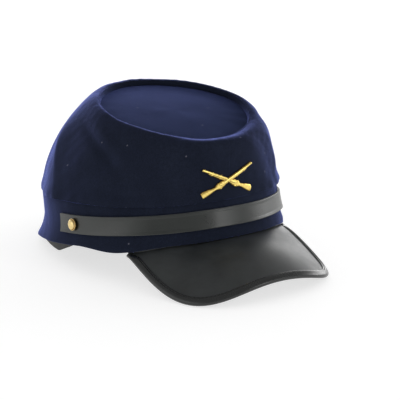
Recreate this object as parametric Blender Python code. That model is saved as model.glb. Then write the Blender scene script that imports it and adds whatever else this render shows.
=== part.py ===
"""Kepi cap: a cloth crown tipped forward over a cloth band, with a stiff peak.

Metres, +Z up. The peak points to -Y and the wearer's right is -X. Every piece is
modelled with the rim of the band at z = 0. The whole cap is then tilted back until it
rests on its peak and on the back of its rim, as it does on a table.
Angles run round the head: 0 at the wearer's left, 90 degrees at the front, 180 at the
wearer's right and 270 at the back.
"""
import math
from collections import namedtuple

import bmesh
import bpy
import numpy as np
from mathutils import Matrix, Vector

MM = 0.001
GAP = 0.3 * MM

# Head outline, on the outside of the band above its flare
HEAD_HALF_WIDTH = 88.0 * MM
HEAD_FRONT = 96.5 * MM
HEAD_BACK = 106.5 * MM
HEAD_SQUARENESS = 2.12

# Band and its rim
BAND_WALL = 2.4 * MM
BAND_HEIGHT_FRONT = 28.8 * MM
BAND_HEIGHT_BACK = 37.6 * MM
RIM_FLARE = 5.4 * MM
FLARE_RISE = 20.0 * MM
RIM_DIP = 4.0 * MM

# Sweatband
SWEATBAND_WALL = 1.4 * MM
SWEATBAND_HEIGHT = 24.0 * MM
SWEATBAND_LIFT = 1.0 * MM
SWEATBAND_GAP = 0.5 * MM
DROOP_DEPTH = 7.9 * MM
DROOP_AT = math.radians(186.5)
DROOP_TO_FRONT = math.radians(13.5)
DROOP_TO_BACK = math.radians(22)

# Crown, its sunk top and the soft folds of its side
CROWN_WALL = 2.0 * MM
CROWN_INSET = 1.3 * MM
CROWN_SQUARENESS = 2.26
TOP_HEIGHT = 96.3 * MM
TOP_CENTRE_Y = -29.1 * MM
TOP_HALF_WIDTH = 58.0 * MM
TOP_HALF_LENGTH = 64.4 * MM
TOP_SQUARENESS = 1.85
TOP_PITCH = math.radians(18.1)
TOP_EGG = 0.04
TOP_SADDLE = 3.0 * MM
TOP_PUFF = 1.2 * MM
RECESS_DEPTH = 4.0 * MM
LIP_TURN = 1.0 * MM
LIP_ROLL_TURN = 0.7
LIP_ROLL_DROP = 0.5
DISC_TUCK_SHARE = 0.7
DISC_WALL = 1.6 * MM
FOLD_DEPTH = 1.6 * MM

# Peak and its rolled binding
PEAK_CORNER = math.radians(142.5)
PEAK_REACH = 91.8 * MM
PEAK_SQUARENESS = 3.0
PEAK_SLOPE = math.radians(31.5)
PEAK_ARCH = 35.5 * MM
PEAK_ARCH_POWER = 2.25
PEAK_TWIST = 1.2 * MM
PEAK_BULGE = 0.05
PEAK_WALL = 2.0 * MM
PEAK_TUCK = 3.5 * MM
BINDING_WIDTH = 6.2 * MM
BINDING_WALL = 1.1 * MM
BINDING_SLOT_GAP = 0.6 * MM
BINDING_END_SHARE = 0.4
BINDING_END_POWER = 8
SEAM_LAP = 1.15

# Chin strap and its two buttons
STRAP_WIDTH = 14.0 * MM
STRAP_WALL = 1.8 * MM
STRAP_HEIGHT = 9.2 * MM
STRAP_END = math.radians(182.3)
BUTTON_RADIUS = 5.0 * MM
BUTTON_HEIGHT = 2.2 * MM
BUTTON_BACKSET = 15.0 * MM

# Badge of crossed rifles
BADGE_HALF_WIDTH = 21.8 * MM
BADGE_HALF_HEIGHT = 10.0 * MM
BADGE_HEIGHT = 43.6 * MM
BADGE_SIDE = -1.0 * MM
BADGE_RELIEF = 1.3 * MM
BADGE_STEP = 0.4 * MM

# How finely the round shapes are divided
COLUMNS = 60
CROWN_ROWS = 11
BAND_ROWS = 5
DISC_RINGS = (1.0, 0.9, 0.66, 0.33)
PEAK_COLUMNS = 36
PEAK_ROWS = 6
STRAP_COLUMNS = 38
BUTTON_SIDES = 18
BUTTON_CHECKS = 16
CURVE_STEPS = 200
RIFLE_STATIONS = 24
SHARP_EDGE = math.radians(40)

# Shares that change round the cap: flare of RIM_FLARE, the rest of the crown's height
Quarter = namedtuple("Quarter", "flare rise lean out crest")
FRONT = Quarter(flare=0.20, rise=0.50, lean=0.055, out=0.32, crest=0.04)
SIDE = Quarter(flare=0.75, rise=0.43, lean=-0.035, out=0.11, crest=0.16)
BACK = Quarter(flare=1.00, rise=0.82, lean=-0.02, out=0.17, crest=0.17)

# Lower edge of the band by degrees from the front: how far it dips as a share of
# RIM_DIP, and how far it kicks out beyond the even flare as a share of RIM_FLARE
RimStation = namedtuple("RimStation", "degrees dip kick")
RIM_STATIONS = (
    RimStation(0, 0.0, 0.0),
    RimStation(28, 0.1, 0.0),
    RimStation(58, 1.0, 0.0),
    RimStation(80, 0.0, 0.0),
    RimStation(105, 0.05, 0.25),
    RimStation(128, 0.1, 0.5),
    RimStation(155, 0.0, 0.1),
    RimStation(180, 0.0, 0.0),
)

# Soft folds of the crown: middle and half length along the wall as shares of its rise,
# angles in degrees, slant in degrees along the fold, swell as a share of FOLD_DEPTH
Fold = namedtuple("Fold", "degrees slant spread middle half_length swell")
FOLDS = (
    Fold(degrees=152, slant=-26, spread=9, middle=0.46, half_length=0.40, swell=-1.0),
    Fold(degrees=139, slant=-16, spread=10, middle=0.10, half_length=0.16, swell=0.9),
    Fold(degrees=196, slant=11, spread=8, middle=0.24, half_length=0.42, swell=0.9),
    Fold(degrees=215, slant=11, spread=8, middle=0.26, half_length=0.42, swell=-0.7),
    Fold(degrees=62, slant=6, spread=8, middle=0.40, half_length=0.40, swell=-0.8),
    Fold(degrees=48, slant=-4, spread=9, middle=0.12, half_length=0.18, swell=0.9),
    Fold(degrees=20, slant=20, spread=9, middle=0.45, half_length=0.40, swell=-0.8),
    Fold(degrees=262, slant=-10, spread=10, middle=0.45, half_length=0.45, swell=-0.7),
    Fold(degrees=300, slant=12, spread=9, middle=0.35, half_length=0.40, swell=0.8),
)

# Half sections as shares. Binding: width inward from the edge and height above the slot.
# Strap: corners by their height and by their distance out. Button: radius and height.
BINDING_PROFILE = ((1.0, 0.0), (1.0, 0.6), (0.75, 1.0), (0.35, 1.0))
BINDING_NOSE = (0.08, 0.6)
STRAP_BEVEL = 0.5
BUTTON_PROFILE = ((0.35, 1.0), (0.7, 0.86), (0.86, 0.62), (1.0, 0.5), (1.0, 0.0))
RIFLE_EDGE = 0.6

# Outline of a rifle from its butt to its muzzle, all as shares of its length
RifleStation = namedtuple("RifleStation", "along drop above below")
RIFLE = (
    RifleStation(0.00, 0.004, 0.054, 0.052),
    RifleStation(0.12, 0.002, 0.048, 0.046),
    RifleStation(0.22, 0.000, 0.036, 0.036),
    RifleStation(0.27, 0.000, 0.030, 0.036),
    RifleStation(0.32, 0.000, 0.060, 0.050),
    RifleStation(0.39, 0.000, 0.052, 0.048),
    RifleStation(0.45, 0.000, 0.032, 0.034),
    RifleStation(0.60, 0.000, 0.027, 0.029),
    RifleStation(0.97, 0.000, 0.020, 0.022),
    RifleStation(1.00, 0.000, 0.012, 0.016),
)

# Colour, roughness and metallic value of each material
Finish = namedtuple("Finish", "colour roughness metallic")
FINISHES = {
    "navy_cloth": Finish((0.010, 0.016, 0.060), 0.9, 0.0),
    "black_leather": Finish((0.012, 0.013, 0.013), 0.4, 0.0),
    "brass": Finish((0.83, 0.56, 0.16), 0.3, 1.0),
}


def power(value, exponent):
    """A power that keeps the sign of its base."""
    return np.sign(value) * np.abs(value) ** exponent


def unit(vectors):
    """Vectors of length one along the last axis."""
    return vectors / np.linalg.norm(vectors, axis=-1, keepdims=True)


def points(x, y, z):
    """Joins coordinates into points, whatever their shapes."""
    return np.stack(np.broadcast_arrays(x, y, z), axis=-1)


def read_table(rows, column, place):
    """One column of a table at a place in its first column, eased between the rows."""
    places = np.array([row[0] for row in rows])
    values = np.array([getattr(row, column) for row in rows])
    row = np.clip(np.searchsorted(places, place, side="right") - 1, 0, len(rows) - 2)
    share = np.clip((place - places[row]) / (places[row + 1] - places[row]), 0, 1)
    eased = share * share * (3 - 2 * share)
    return values[row] + (values[row + 1] - values[row]) * eased


def round_the_cap(angle, column):
    """A share that goes from the front over the sides to the back."""
    ahead = np.sin(angle)
    end = np.where(ahead > 0, getattr(FRONT, column), getattr(BACK, column))
    return end * ahead**2 + getattr(SIDE, column) * (1 - ahead**2)


def head_outline(angle, offset, squareness):
    """The head outline, moved outward by an offset."""
    ahead = np.sin(angle)
    depth = np.where(ahead > 0, HEAD_FRONT, HEAD_BACK) + offset
    x = (HEAD_HALF_WIDTH + offset) * power(np.cos(angle), 2 / squareness)
    y = -depth * power(ahead, 2 / squareness)
    return x, y


def read_rim(angle, column):
    """One column of the rim's table, the same on both sides of the cap."""
    degrees_from_front = np.degrees(np.arccos(np.clip(np.sin(angle), -1, 1)))
    return read_table(RIM_STATIONS, column, degrees_from_front)


def band_point(angle, height, inset=0.0):
    """A point of the band's outside at a height, or further in."""
    flare = round_the_cap(angle, "flare") + read_rim(angle, "kick")
    share = np.clip(1 - height / FLARE_RISE, 0, 1)
    offset = RIM_FLARE * flare * share**2 - inset
    x, y = head_outline(angle, offset, HEAD_SQUARENESS)
    return points(x, y, height)


def band_normal(angle, height):
    """The outward direction of the band, level with the rim."""
    step = 1e-3
    along = band_point(angle + step, height) - band_point(angle - step, height)
    return unit(points(-along[..., 1], along[..., 0], 0.0))


def rim_height(angle):
    """Height of the band's lower edge."""
    return -RIM_DIP * read_rim(angle, "dip")


def band_top(angle):
    """Height of the band's upper edge."""
    ahead = (1 + np.sin(angle)) / 2
    return BAND_HEIGHT_BACK + (BAND_HEIGHT_FRONT - BAND_HEIGHT_BACK) * ahead


def opening_point(angle, inset, drop, share=1.0):
    """A point of the sunk top's edge, or of a ring inside it, below the edge by a drop."""
    side = np.cos(angle)
    ahead = np.sin(angle)
    across = (TOP_HALF_WIDTH - inset) * power(side, 2 / TOP_SQUARENESS)
    along = -(TOP_HALF_LENGTH - inset) * power(ahead, 2 / TOP_SQUARENESS)
    saddle = TOP_SADDLE * (side**2 - 0.5) * share**2
    x = share * across * (1 + TOP_EGG * ahead)
    y = TOP_CENTRE_Y + share * along * math.cos(TOP_PITCH) + drop * math.sin(TOP_PITCH)
    z = TOP_HEIGHT + share * along * math.sin(TOP_PITCH) - drop * math.cos(TOP_PITCH)
    return points(x, y, z + saddle)


def fold_swell(angle, rise):
    """How far the soft folds move the crown's wall outward."""
    total = np.zeros(np.broadcast(angle, rise).shape)
    for fold in FOLDS:
        along = (rise - fold.middle) / fold.half_length
        centre = math.radians(fold.degrees) + math.radians(fold.slant) * along
        turn = (angle - centre + math.pi) % (2 * math.pi) - math.pi
        across = turn / math.radians(fold.spread)
        total = total + fold.swell * np.exp(-(across**2) - along**4)
    return FOLD_DEPTH * total


def crown_point(angle, rise):
    """A point of the crown's outside, from its foot (rise 0) to the opening (rise 1)."""
    angle, rise = np.broadcast_arrays(angle, rise)
    tall = TOP_HEIGHT - band_top(angle)
    outward = points(np.cos(angle), -np.sin(angle), 0.0)
    top_normal = np.array([0.0, -math.sin(TOP_PITCH), math.cos(TOP_PITCH)])
    height = (tall * round_the_cap(angle, "rise"))[..., None] * np.array([0.0, 0.0, 1.0])
    lean = (tall * round_the_cap(angle, "lean"))[..., None] * outward
    out = (tall * round_the_cap(angle, "out"))[..., None] * outward
    crest = (tall * round_the_cap(angle, "crest"))[..., None] * top_normal
    x, y = head_outline(angle, -CROWN_INSET, CROWN_SQUARENESS)
    foot = points(x, y, band_top(angle) + GAP)
    edge = opening_point(angle, 0.0, 0.0)
    lower = foot + height + lean
    upper = edge + out + crest
    here = rise[..., None]
    left = 1 - here
    wall = foot * left**3 + 3 * lower * here * left**2
    wall = wall + 3 * upper * here**2 * left + edge * here**3
    return wall + fold_swell(angle, rise)[..., None] * outward


def crown_normal(angle, rise):
    """The outward direction of the crown's wall."""
    step = 1e-3
    along = crown_point(angle + step, rise) - crown_point(angle - step, rise)
    upward = crown_point(angle, rise + step) - crown_point(angle, rise - step)
    return unit(np.cross(upward, along))


def spread_evenly(curve, shares):
    """Points at shares of a curve's length."""
    lengths = np.linalg.norm(np.diff(curve, axis=0), axis=1)
    along = np.concatenate([[0.0], np.cumsum(lengths)])
    return np.stack([np.interp(shares * along[-1], along, axis) for axis in curve.T], axis=-1)


def end_share(share):
    """Nothing along most of the peak, rising to 1 at its two ends."""
    return np.abs(2 * share - 1) ** BINDING_END_POWER


def thinning(share):
    """How much of the binding's wall and width is left at a place along the peak."""
    return 1 - (1 - BINDING_END_SHARE) * end_share(share)


def binding_half_height(share):
    """Half the height of the binding, which thins towards its two ends."""
    return PEAK_WALL / 2 + BINDING_SLOT_GAP + BINDING_WALL * thinning(share)


def peak_seam(share):
    """Where the peak is sewn under the band, from the wearer's right to the left."""
    angle = np.linspace(PEAK_CORNER, math.pi - PEAK_CORNER, CURVE_STEPS)
    seam = band_point(angle, rim_height(angle), PEAK_TUCK)
    seam = spread_evenly(seam, share)
    thin = binding_half_height(share) - PEAK_WALL / 2
    seam[..., 2] -= GAP + SEAM_LAP * PEAK_WALL / 2 + thin * end_share(share)
    return seam


def peak_edge(share):
    """The free edge of the peak, from the wearer's right to the left."""
    angle = np.linspace(math.pi, 0, 2 * CURVE_STEPS)
    corner = band_point(PEAK_CORNER, rim_height(PEAK_CORNER))
    half_width = -corner[0]
    x = half_width * power(np.cos(angle), 2 / PEAK_SQUARENESS)
    reach = PEAK_REACH * np.abs(np.sin(angle)) ** (2 / PEAK_SQUARENESS)
    across = x / half_width
    arch = PEAK_ARCH * (1 - np.abs(across) ** PEAK_ARCH_POWER)
    twist = PEAK_TWIST * across * reach / PEAK_REACH
    drop = GAP + binding_half_height(0.0)
    z = corner[2] - drop - reach * math.tan(PEAK_SLOPE) + arch + twist
    return spread_evenly(points(x, corner[1] - reach, z), share)


def peak_point(share, out):
    """A point of the peak's middle surface, from its seam (out 0) to its edge (out 1)."""
    seam = peak_seam(share)
    edge = peak_edge(share)
    length = np.linalg.norm(edge - seam, axis=-1)
    level = seam + (edge - seam) * out[..., None]
    level[..., 2] += PEAK_BULGE * length * 4 * out * (1 - out)
    return level


def peak_normal(share, out):
    """The upward direction of the peak's surface."""
    step = 1e-3
    before = np.clip(share - step, 0, 1)
    after = np.clip(share + step, 0, 1)
    along = peak_point(after, out) - peak_point(before, out)
    outward = peak_point(share, out + step) - peak_point(share, out - step)
    return unit(np.cross(outward, along))


def peak_inward(share):
    """The direction in the peak's surface that leads square away from its edge."""
    step = 1e-3
    along = peak_edge(np.clip(share + step, 0, 1)) - peak_edge(np.clip(share - step, 0, 1))
    return unit(np.cross(peak_normal(share, np.ones_like(share)), along))


def make_material(name):
    """A plain material of the given finish."""
    finish = FINISHES[name]
    material = bpy.data.materials.new(name)
    material.use_nodes = True
    shader = material.node_tree.nodes["Principled BSDF"]
    shader.inputs["Base Color"].default_value = (*finish.colour, 1.0)
    shader.inputs["Roughness"].default_value = finish.roughness
    shader.inputs["Metallic"].default_value = finish.metallic
    return material


def add_object(name, mesh, finish, parent):
    """Adds a mesh as a smooth object with its own material."""
    mesh.name = name
    mesh.shade_smooth()
    mesh.set_sharp_from_angle(angle=SHARP_EDGE)
    mesh.materials.clear()
    mesh.materials.append(make_material(finish))
    mesh.materials[0].name = name
    part = bpy.data.objects.new(name, mesh)
    bpy.context.scene.collection.objects.link(part)
    part.parent = parent
    return part


def loops_to_mesh(loops, ends):
    """A closed mesh through loops of points: ends are joined, capped flat or tipped."""
    loops = np.asarray(loops)
    count, size = loops.shape[:2]
    vertices = loops.reshape(-1, 3).tolist()
    pairs = count if ends == "joined" else count - 1
    faces = []
    for row in range(pairs):
        here = row * size
        there = (row + 1) % count * size
        for k in range(size):
            after = (k + 1) % size
            faces.append((here + k, here + after, there + after, there + k))
    if ends == "capped":
        faces.append(tuple(range(size)))
        faces.append(tuple(range((count - 1) * size, count * size)))
    if ends == "tipped":
        for start, loop in ((0, loops[0]), ((count - 1) * size, loops[-1])):
            tip = len(vertices)
            vertices.append(loop.mean(axis=0).tolist())
            faces += [(start + k, start + (k + 1) % size, tip) for k in range(size)]
    mesh = bpy.data.meshes.new("body")
    mesh.from_pydata(vertices, [], faces)
    body = bmesh.new()
    body.from_mesh(mesh)
    bmesh.ops.recalc_face_normals(body, faces=body.faces)
    body.to_mesh(mesh)
    body.free()
    return mesh


def ring_angles():
    """The angles of the columns round the cap, as one column of numbers."""
    return (np.arange(COLUMNS) * 2 * math.pi / COLUMNS)[:, None]


def make_crown():
    """The side wall, rolled over at the shoulder and turned down into the sunk top."""
    angle = ring_angles()
    rise = np.linspace(0, 1, CROWN_ROWS)[None, :]
    outside = crown_point(angle, rise)
    inside = outside - CROWN_WALL * crown_normal(angle, rise)
    inside[:, 0, 2] = outside[:, 0, 2]
    lip = [
        opening_point(angle, LIP_ROLL_TURN * LIP_TURN, LIP_ROLL_DROP * LIP_TURN),
        opening_point(angle, LIP_TURN, RECESS_DEPTH),
        opening_point(angle, LIP_TURN - CROWN_WALL, RECESS_DEPTH),
    ]
    return loops_to_mesh(np.concatenate([outside, *lip, inside[:, ::-1]], axis=1), "joined")


def make_top_disc():
    """The sunk oval, tucked under the crown's lip and slightly puffed."""
    angle = ring_angles()[:, 0]
    tuck = DISC_TUCK_SHARE * (LIP_TURN - CROWN_WALL)
    loops = []
    for share in DISC_RINGS[::-1]:
        puff = TOP_PUFF * (1 - share**2)
        loops.append(opening_point(angle, tuck, RECESS_DEPTH + GAP - puff, share))
    for share in DISC_RINGS:
        puff = TOP_PUFF * (1 - share**2)
        loops.append(opening_point(angle, tuck, RECESS_DEPTH + GAP + DISC_WALL - puff, share))
    return loops_to_mesh(loops, "tipped")


def flared_rows(low, high):
    """Heights between two edges, close together where the band flares."""
    knee = np.minimum(FLARE_RISE, low + 0.8 * (high - low))
    flared = low + (knee - low) * np.linspace(0, 1, BAND_ROWS - 1)[None, :]
    return np.concatenate([flared, high], axis=1)


def make_band():
    """The band from its waved lower edge to the slanting edge that the crown meets."""
    angle = ring_angles()
    height = flared_rows(rim_height(angle), band_top(angle))
    outside = band_point(angle, height)
    inside = band_point(angle, height, BAND_WALL)
    return loops_to_mesh(np.concatenate([outside, inside[:, ::-1]], axis=1), "joined")


def make_sweatband():
    """The band inside the rim, with the droop that shows below the cloth."""
    angle = ring_angles()
    turn = angle - DROOP_AT
    reach = np.where(turn < 0, DROOP_TO_FRONT, DROOP_TO_BACK)
    droop = DROOP_DEPTH * np.clip(1 - np.abs(turn) / reach, 0, 1)
    low = rim_height(angle) + SWEATBAND_LIFT - droop
    height = flared_rows(low, np.full_like(low, SWEATBAND_HEIGHT))
    outer = BAND_WALL + SWEATBAND_GAP
    outside = band_point(angle, height, outer)
    inside = band_point(angle, height, outer + SWEATBAND_WALL)
    return loops_to_mesh(np.concatenate([outside, inside[:, ::-1]], axis=1), "joined")


def make_peak():
    """The sheet of the peak, from its seam to inside the binding's slot."""
    share = np.linspace(0, 1, PEAK_COLUMNS + 1)
    depth = np.sum((peak_seam(share) - peak_edge(share)) * peak_inward(share), axis=-1)
    last = 1 - (BINDING_WALL + 2 * BINDING_SLOT_GAP) / depth
    out = last[:, None] * np.linspace(0, 1, PEAK_ROWS)[None, :]
    share = np.broadcast_to(share[:, None], out.shape)
    middle = peak_point(share, out)
    half = PEAK_WALL / 2 * peak_normal(share, out)
    return loops_to_mesh(np.concatenate([middle + half, (middle - half)[:, ::-1]], axis=1), "capped")


def make_binding():
    """The rolled edge: a rounded channel that holds the sheet's edge in its slot."""
    share = np.linspace(0, 1, PEAK_COLUMNS + 1)
    edge = peak_edge(share)
    normal = peak_normal(share, np.ones_like(share))
    inward = peak_inward(share)
    width = BINDING_WIDTH * thinning(share)
    high = binding_half_height(share)
    slot = np.full_like(share, PEAK_WALL / 2 + BINDING_SLOT_GAP)
    mouth = np.full_like(share, BINDING_WALL)
    upper = [(mouth, slot)]
    upper += [(wide * width, slot + tall * (high - slot)) for wide, tall in BINDING_PROFILE]
    upper.append((BINDING_NOSE[0] * width, BINDING_NOSE[1] * high))
    section = [edge + a[:, None] * inward + h[:, None] * normal for a, h in upper]
    section.append(edge)
    section += [edge + a[:, None] * inward - h[:, None] * normal for a, h in upper[::-1]]
    return loops_to_mesh(np.stack(section, axis=1), "capped")


def strap_point(angle, height, out):
    """A point off the band's outside, where the strap lies."""
    return band_point(angle, height) + out * band_normal(angle, height)


def make_strap():
    """The flat strap round the front, square at both ends."""
    angle = np.linspace(STRAP_END, math.pi - STRAP_END, STRAP_COLUMNS + 1)
    low = STRAP_HEIGHT
    high = STRAP_HEIGHT + STRAP_WIDTH
    edge = STRAP_BEVEL * STRAP_WALL
    loop = (
        (low, GAP),
        (high, GAP),
        (high, GAP + edge),
        (high - edge, GAP + STRAP_WALL),
        (low + edge, GAP + STRAP_WALL),
        (low, GAP + edge),
    )
    return loops_to_mesh(np.stack([strap_point(angle, *at) for at in loop], axis=1), "capped")


def make_button():
    """A domed button with a rolled foot, standing on its own flat back."""
    turn = np.arange(BUTTON_SIDES) * 2 * math.pi / BUTTON_SIDES
    loops = []
    for radius, height in BUTTON_PROFILE:
        wide = radius * BUTTON_RADIUS
        loops.append(points(wide * np.cos(turn), wide * np.sin(turn), height * BUTTON_HEIGHT))
    return loops_to_mesh(loops, "capped")


def place_button(button, side):
    """Seats a button's flat back on the strap, a set way from the strap's end."""
    angle = STRAP_END - BUTTON_BACKSET / HEAD_HALF_WIDTH
    if side == "left":
        angle = math.pi - angle
    middle = STRAP_HEIGHT + STRAP_WIDTH / 2
    face = GAP + STRAP_WALL
    turn = np.arange(BUTTON_CHECKS) * 2 * math.pi / BUTTON_CHECKS
    beside = angle + BUTTON_RADIUS / HEAD_HALF_WIDTH * np.cos(turn)
    foot = strap_point(beside, middle + BUTTON_RADIUS * np.sin(turn), face)
    top, side = BUTTON_CHECKS // 4, BUTTON_CHECKS // 2
    normal = unit(np.cross(foot[top] - foot[top + side], foot[0] - foot[side]))
    centre = strap_point(angle, middle, face)
    lift = ((foot - centre) @ normal).max() + GAP
    button.location = Vector(centre + lift * normal)
    button.rotation_euler = Vector(normal).to_track_quat("Z", "Y").to_euler()


def make_rifle(step, mirror):
    """One flat rifle of the badge, from its lower butt to its upper muzzle."""
    length = 2 * math.hypot(BADGE_HALF_WIDTH, BADGE_HALF_HEIGHT)
    slope = math.atan2(BADGE_HALF_HEIGHT, BADGE_HALF_WIDTH)
    along = np.linspace(0, 1, RIFLE_STATIONS)
    drop = read_table(RIFLE, "drop", along)
    above = drop + read_table(RIFLE, "above", along)
    below = drop - read_table(RIFLE, "below", along)
    edge = step + RIFLE_EDGE * BADGE_RELIEF
    ridge = step + BADGE_RELIEF
    across = ((above, step), (above, edge), (drop, ridge), (below, edge), (below, step))
    loops = []
    for place, depth in across:
        ahead = (along - 0.5) * length
        x = ahead * math.cos(slope) - place * length * math.sin(slope)
        z = ahead * math.sin(slope) + place * length * math.cos(slope)
        loops.append(points(mirror * x, z, depth))
    return loops_to_mesh(np.stack(loops, axis=1), "capped")


def lay_on_crown(flat):
    """Moves flat points (across, up, depth) onto the front of the crown."""
    across = BADGE_SIDE + flat[:, 0]
    up = BADGE_HEIGHT + flat[:, 1]
    angle = np.full(len(flat), math.pi / 2)
    rise = np.full(len(flat), 0.25)
    step = 1e-4
    for _ in range(8):
        here = crown_point(angle, rise)
        by_angle = (crown_point(angle + step, rise) - here) / step
        by_rise = (crown_point(angle, rise + step) - here) / step
        miss_x = across - here[:, 0]
        miss_z = up - here[:, 2]
        scale = by_angle[:, 0] * by_rise[:, 2] - by_rise[:, 0] * by_angle[:, 2]
        angle = angle + (miss_x * by_rise[:, 2] - miss_z * by_rise[:, 0]) / scale
        rise = rise + (miss_z * by_angle[:, 0] - miss_x * by_angle[:, 2]) / scale
    lift = (GAP + flat[:, 2])[:, None]
    return crown_point(angle, rise) + lift * crown_normal(angle, rise)


def make_badge():
    """Two crossed rifles joined into one solid and bent to the crown."""
    over = bpy.data.objects.new("rifle_over", make_rifle(BADGE_STEP, 1))
    under = bpy.data.objects.new("rifle_under", make_rifle(0.0, -1))
    for rifle in (over, under):
        bpy.context.scene.collection.objects.link(rifle)
    join = over.modifiers.new("join", "BOOLEAN")
    join.operation = "UNION"
    join.solver = "EXACT"
    join.object = under
    graph = bpy.context.evaluated_depsgraph_get()
    mesh = bpy.data.meshes.new_from_object(over.evaluated_get(graph))
    for rifle in (over, under):
        bpy.data.objects.remove(rifle)
    flat = np.array([vertex.co[:] for vertex in mesh.vertices])
    for vertex, place in zip(mesh.vertices, lay_on_crown(flat)):
        vertex.co = place
    return mesh


def level(cloud, across):
    """The turn that brings the lowest points on the two sides of a line level."""
    before = across < 0
    low = math.radians(-30)
    high = math.radians(30)
    for _ in range(50):
        turn = (low + high) / 2
        height = cloud[:, 2] * math.cos(turn) - across * math.sin(turn)
        if height[before].min() < height[~before].min():
            low = turn
        else:
            high = turn
    return (low + high) / 2


def seat_cap(cap, parts):
    """Rests the cap on both corners of its peak and the back of its rim, at z = 0."""
    bpy.context.view_layer.update()
    cloud = np.concatenate([
        [(part.matrix_world @ vertex.co)[:] for vertex in part.data.vertices] for part in parts
    ])
    turn = Matrix.Identity(3)
    for _ in range(10):
        turned = cloud @ np.array(turn).T
        turn = Matrix.Rotation(-level(turned, turned[:, 1]), 3, "X") @ turn
        turned = cloud @ np.array(turn).T
        ahead = turned[turned[:, 1] < 0]
        turn = Matrix.Rotation(level(ahead, ahead[:, 0]), 3, "Y") @ turn
    seated = cloud @ np.array(turn).T
    middle = (seated.min(axis=0) + seated.max(axis=0)) / 2
    lowest = seated[:, 2].min()
    cap.matrix_world = Matrix.Translation((-middle[0], -middle[1], -lowest)) @ turn.to_4x4()


def build_cap():
    """Makes every piece under one empty, then seats the cap."""
    for old in list(bpy.data.objects):
        bpy.data.objects.remove(old)
    cap = bpy.data.objects.new("cap_at_rest", None)
    bpy.context.scene.collection.objects.link(cap)
    parts = [
        add_object("crown", make_crown(), "navy_cloth", cap),
        add_object("top_disc", make_top_disc(), "navy_cloth", cap),
        add_object("band", make_band(), "navy_cloth", cap),
        add_object("sweatband", make_sweatband(), "black_leather", cap),
        add_object("peak", make_peak(), "black_leather", cap),
        add_object("peak_binding", make_binding(), "black_leather", cap),
        add_object("chin_strap", make_strap(), "black_leather", cap),
        add_object("badge", make_badge(), "brass", cap),
    ]
    for side in ("right", "left"):
        button = add_object(f"strap_button_{side}", make_button(), "brass", cap)
        place_button(button, side)
        parts.append(button)
    seat_cap(cap, parts)


build_cap()
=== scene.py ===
"""Looks of the navy kepi: detailed cloth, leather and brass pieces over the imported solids.

Metres, +Z up. Each piece is built in the cap's own frame, with the rim of its band at
z = 0, from the same values as the solids, and is then turned and moved to where the cap
rests. Angles run round the head: 0 at the wearer's left, 90 degrees at the front, 180 at
the wearer's right and 270 at the back.
"""

import math
from collections import namedtuple

import bmesh
import bpy
import numpy as np
from mathutils import Euler, Matrix, Vector


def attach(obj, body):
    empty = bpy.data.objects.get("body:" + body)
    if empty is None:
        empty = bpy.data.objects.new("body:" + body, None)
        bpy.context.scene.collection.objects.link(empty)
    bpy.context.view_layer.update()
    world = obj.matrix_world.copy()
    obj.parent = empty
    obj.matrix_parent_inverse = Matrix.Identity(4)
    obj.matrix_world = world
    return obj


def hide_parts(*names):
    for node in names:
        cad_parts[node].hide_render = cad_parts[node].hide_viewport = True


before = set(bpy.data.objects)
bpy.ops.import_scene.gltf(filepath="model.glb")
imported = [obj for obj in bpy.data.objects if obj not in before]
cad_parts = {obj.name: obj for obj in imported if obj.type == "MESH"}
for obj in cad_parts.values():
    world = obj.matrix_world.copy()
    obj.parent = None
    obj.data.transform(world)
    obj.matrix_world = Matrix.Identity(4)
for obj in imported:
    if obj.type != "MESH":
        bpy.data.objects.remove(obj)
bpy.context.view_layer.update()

MM = 0.001
GAP = 0.3 * MM

# Where the cap rests, and the photograph's view of it
CAP_TURN = (-0.1523271, 0.0116968, 0.0000377)
CAP_PLACE = (-0.0000599, 0.0227924, 0.0170301)
CAMERA_PLACE = (-0.6726241, -1.0309487, 0.4017369)
CAMERA_TURN = (1.2872599, 0.0075333, -0.5935948)
CAMERA_LENS = 146.512

# Head outline and band
HEAD_HALF_WIDTH = 88.0 * MM
HEAD_FRONT = 96.5 * MM
HEAD_BACK = 106.5 * MM
HEAD_SQUARENESS = 2.12
BAND_WALL = 2.4 * MM
BAND_HEIGHT_FRONT = 28.8 * MM
BAND_HEIGHT_BACK = 37.6 * MM
RIM_FLARE = 5.4 * MM
FLARE_RISE = 20.0 * MM
RIM_DIP = 4.0 * MM
SWEATBAND_WALL = 1.4 * MM
SWEATBAND_HEIGHT = 24.0 * MM
SWEATBAND_LIFT = 1.0 * MM
SWEATBAND_GAP = 0.5 * MM
DROOP_DEPTH = 7.9 * MM
DROOP_AT = math.radians(186.5)
DROOP_TO_FRONT = math.radians(13.5)
DROOP_TO_BACK = math.radians(22)

# Crown and its sunk top
CROWN_WALL = 2.0 * MM
CROWN_INSET = 1.3 * MM
CROWN_SQUARENESS = 2.26
TOP_HEIGHT = 96.3 * MM
TOP_CENTRE_Y = -29.1 * MM
TOP_HALF_WIDTH = 58.0 * MM
TOP_HALF_LENGTH = 64.4 * MM
TOP_SQUARENESS = 1.85
TOP_PITCH = math.radians(18.1)
TOP_EGG = 0.04
TOP_SADDLE = 3.0 * MM
TOP_PUFF = 1.2 * MM
RECESS_DEPTH = 4.0 * MM
LIP_TURN = 1.0 * MM
DISC_WALL = 1.6 * MM
FOLD_DEPTH = 1.6 * MM

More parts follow.
